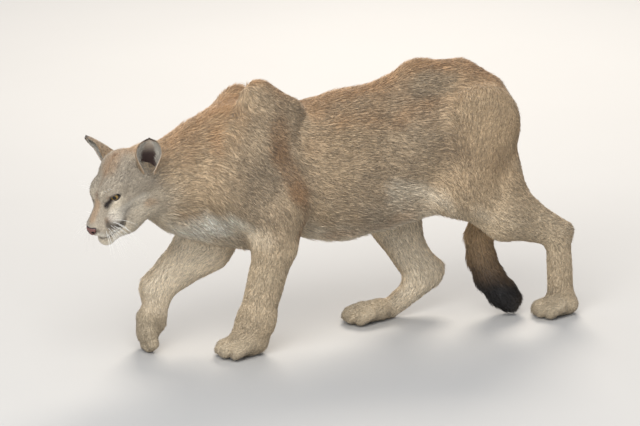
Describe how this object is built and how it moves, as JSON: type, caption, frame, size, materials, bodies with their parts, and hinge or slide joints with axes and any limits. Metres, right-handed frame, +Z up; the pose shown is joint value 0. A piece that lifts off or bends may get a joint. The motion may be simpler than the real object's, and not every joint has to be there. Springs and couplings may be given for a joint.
{
  "type": "cougar model",
  "caption": "Life-size cougar standing in mid-stride with its head low and one forepaw lifted, as a still museum model.",
  "frame": {"origin": "centre of the bounding box at the level of the ground under the paws", "axes": "+X from nose to rump, +Z up, the animal's left side towards -Y"},
  "size_m": [1.2674, 0.2922, 0.6594],
  "materials": {
    "coat": "short tawny fur with grizzled tips",
    "pale_coat": "short cream fur",
    "dark_coat": "short dark brown fur",
    "eye": "amber glass eye with a dark pupil",
    "nose_leather": "brick-brown nose leather"
  },
  "bodies": {
    "root": {"torso": "coat", "neck": "coat", "head": "coat", "left_foreleg": "coat", "left_forepaw": "pale_coat", "right_foreleg": "coat", "right_forepaw": "pale_coat", "left_hind_leg": "coat", "left_hind_paw": "pale_coat", "right_hind_leg": "coat", "right_hind_paw": "pale_coat", "tail": "coat", "tail_tip": "dark_coat", "left_eye": "eye", "right_eye": "eye", "nose": "nose_leather", "left_ear": "coat", "right_ear": "coat"}
  },
  "joints": []
}
